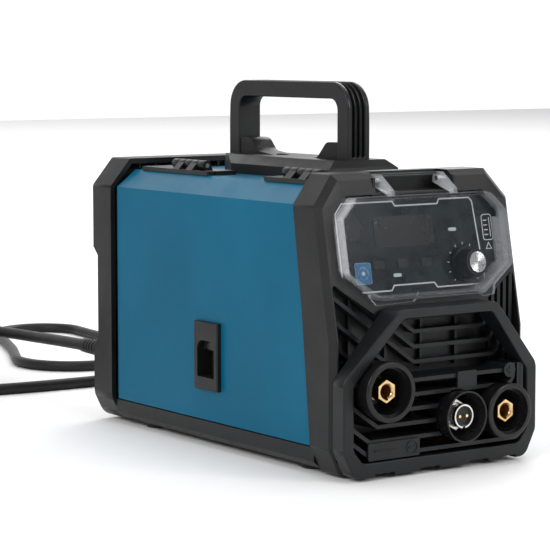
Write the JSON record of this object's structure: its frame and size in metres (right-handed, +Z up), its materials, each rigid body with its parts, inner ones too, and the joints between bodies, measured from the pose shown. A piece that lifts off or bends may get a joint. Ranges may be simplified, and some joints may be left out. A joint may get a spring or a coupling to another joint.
{
  "type": "portable mig welder",
  "caption": "Portable inverter wire welder: blue sheet-steel body with hinged side door, black moulded end frames, clear flip cover, cable sockets, carry handle and mains lead.",
  "frame": {"origin": "middle of the underside of the body, on the surface that the feet stand on", "axes": "+X to the machine's right side, +Y to its back, +Z up; the front with the sockets faces -Y and the door side faces -X"},
  "size_m": [0.3262, 0.7871, 0.254],
  "materials": {
    "black_moulding": "matt",
    "ring_plastic": "satin",
    "blue_paint": "satin",
    "clear_plastic": "polished",
    "panel_gloss": "gloss",
    "marking_plastic": "satin",
    "brass": "turned",
    "nickel": "satin",
    "steel": "zinc plated",
    "aluminium": "as extruded",
    "gloss_black": "gloss",
    "cord_rubber": "matt",
    "board_green": "satin",
    "copper_wire": "drawn"
  },
  "bodies": {
    "housing": {"front_bezel": "black_moulding", "bumper_ring": "ring_plastic", "front_grille": "black_moulding", "socket_cups": "gloss_black", "brass_sockets": "brass", "socket_nuts": "steel", "gun_connector_shell": "nickel", "gun_connector_nut": "nickel", "gun_connector_insert": "gloss_black", "gun_connector_pins": "brass", "marking_plates": "marking_plastic", "display_panel": "panel_gloss", "control_board": "board_green", "rear_frame": "black_moulding", "rear_panel": "black_moulding", "power_switch": "gloss_black", "cable_gland": "gloss_black", "strain_relief": "cord_rubber", "top_cover": "blue_paint", "base_tray": "black_moulding", "rubber_feet": "cord_rubber", "handle": "gloss_black", "handle_base": "black_moulding", "screws": "steel", "cover_hinge_leaves": "black_moulding", "hinge_pins": "steel", "centre_partition": "steel", "feeder_frame": "gloss_black", "arm_pin": "steel", "feed_motor": "steel", "tension_spring": "steel", "wire_guides": "brass", "welding_wire": "copper_wire", "spool_spindle": "gloss_black", "spool_nut": "gloss_black", "fan_frame": "gloss_black", "power_board": "board_green", "heat_sink": "aluminium", "main_transformer": "steel", "output_inductor": "copper_wire", "lead_upper": "cord_rubber", "lead_lower": "cord_rubber", "lead_coil": "cord_rubber", "mains_plug": "gloss_black"},
    "door": {"side_door": "blue_paint", "door_hinge_leaves": "black_moulding", "latch_frame": "black_moulding"},
    "latch": {"latch_slide": "gloss_black"},
    "cover": {"clear_cover": "clear_plastic"},
    "control_knob": {"knob": "gloss_black", "knob_cap": "aluminium"},
    "rocker": {"power_rocker": "gloss_black"},
    "fan": {"fan_rotor": "gloss_black"},
    "spool": {"wire_spool": "gloss_black", "spool_winding": "copper_wire"},
    "feed_roll": {"drive_roll": "steel"},
    "arm": {"pressure_arm": "gloss_black", "roller_pin": "steel"},
    "idler": {"pressure_roller": "steel"},
    "tension_screw": {"tension_knob": "gloss_black"}
  },
  "joints": [
    {"name": "door_hinge", "type": "hinge", "parent": "housing", "child": "door", "pos_m": [-0.055, 0, 0.1943], "axis": [0, 1, 0], "range_deg": [0, 110]},
    {"name": "latch_lift", "type": "slide", "parent": "door", "child": "latch", "axis": [0, 0, 1], "range_m": [0, 0.006], "stiffness_N_per_m": 400, "springref_m": -0.003},
    {"name": "cover_hinge", "type": "hinge", "parent": "housing", "child": "cover", "pos_m": [0, -0.1105, 0.1905], "axis": [-1, 0, 0], "range_deg": [0, 95]},
    {"name": "knob_turn", "type": "hinge", "parent": "housing", "child": "control_knob", "pos_m": [0.041, -0.12167, 0.1323], "axis": [0, -0.9811, 0.1933], "range_deg": [-135, 135]},
    {"name": "rocker_tip", "type": "hinge", "parent": "housing", "child": "rocker", "pos_m": [-0.044, 0.1475, 0.142], "axis": [1, 0, 0], "range_deg": [0, 12]},
    {"name": "fan_spin", "type": "hinge", "parent": "housing", "child": "fan", "pos_m": [0.024, 0.13, 0.108], "axis": [0, 1, 0], "continuous": true},
    {"name": "spool_spin", "type": "hinge", "parent": "housing", "child": "spool", "pos_m": [-0.045, 0.072, 0.1], "axis": [1, 0, 0], "continuous": true},
    {"name": "feed_roll_spin", "type": "hinge", "parent": "housing", "child": "feed_roll", "pos_m": [-0.05, -0.056, 0.0423], "axis": [1, 0, 0], "continuous": true},
    {"name": "arm_rock", "type": "hinge", "parent": "housing", "child": "arm", "pos_m": [-0.045, -0.024, 0.082], "axis": [-1, 0, 0], "range_deg": [0, 8], "stiffness_Nm_per_rad": 1.5, "springref_deg": -17.19, "deforming": ["tension_spring"]},
    {"name": "idler_spin", "type": "hinge", "parent": "arm", "child": "idler", "pos_m": [-0.05, -0.056, 0.0697], "axis": [1, 0, 0], "continuous": true},
    {"name": "tension_turn", "type": "hinge", "parent": "housing", "child": "tension_screw", "pos_m": [-0.05, -0.082, 0.11], "axis": [0, 0, 1], "range_deg": [0, 720]}
  ]
}
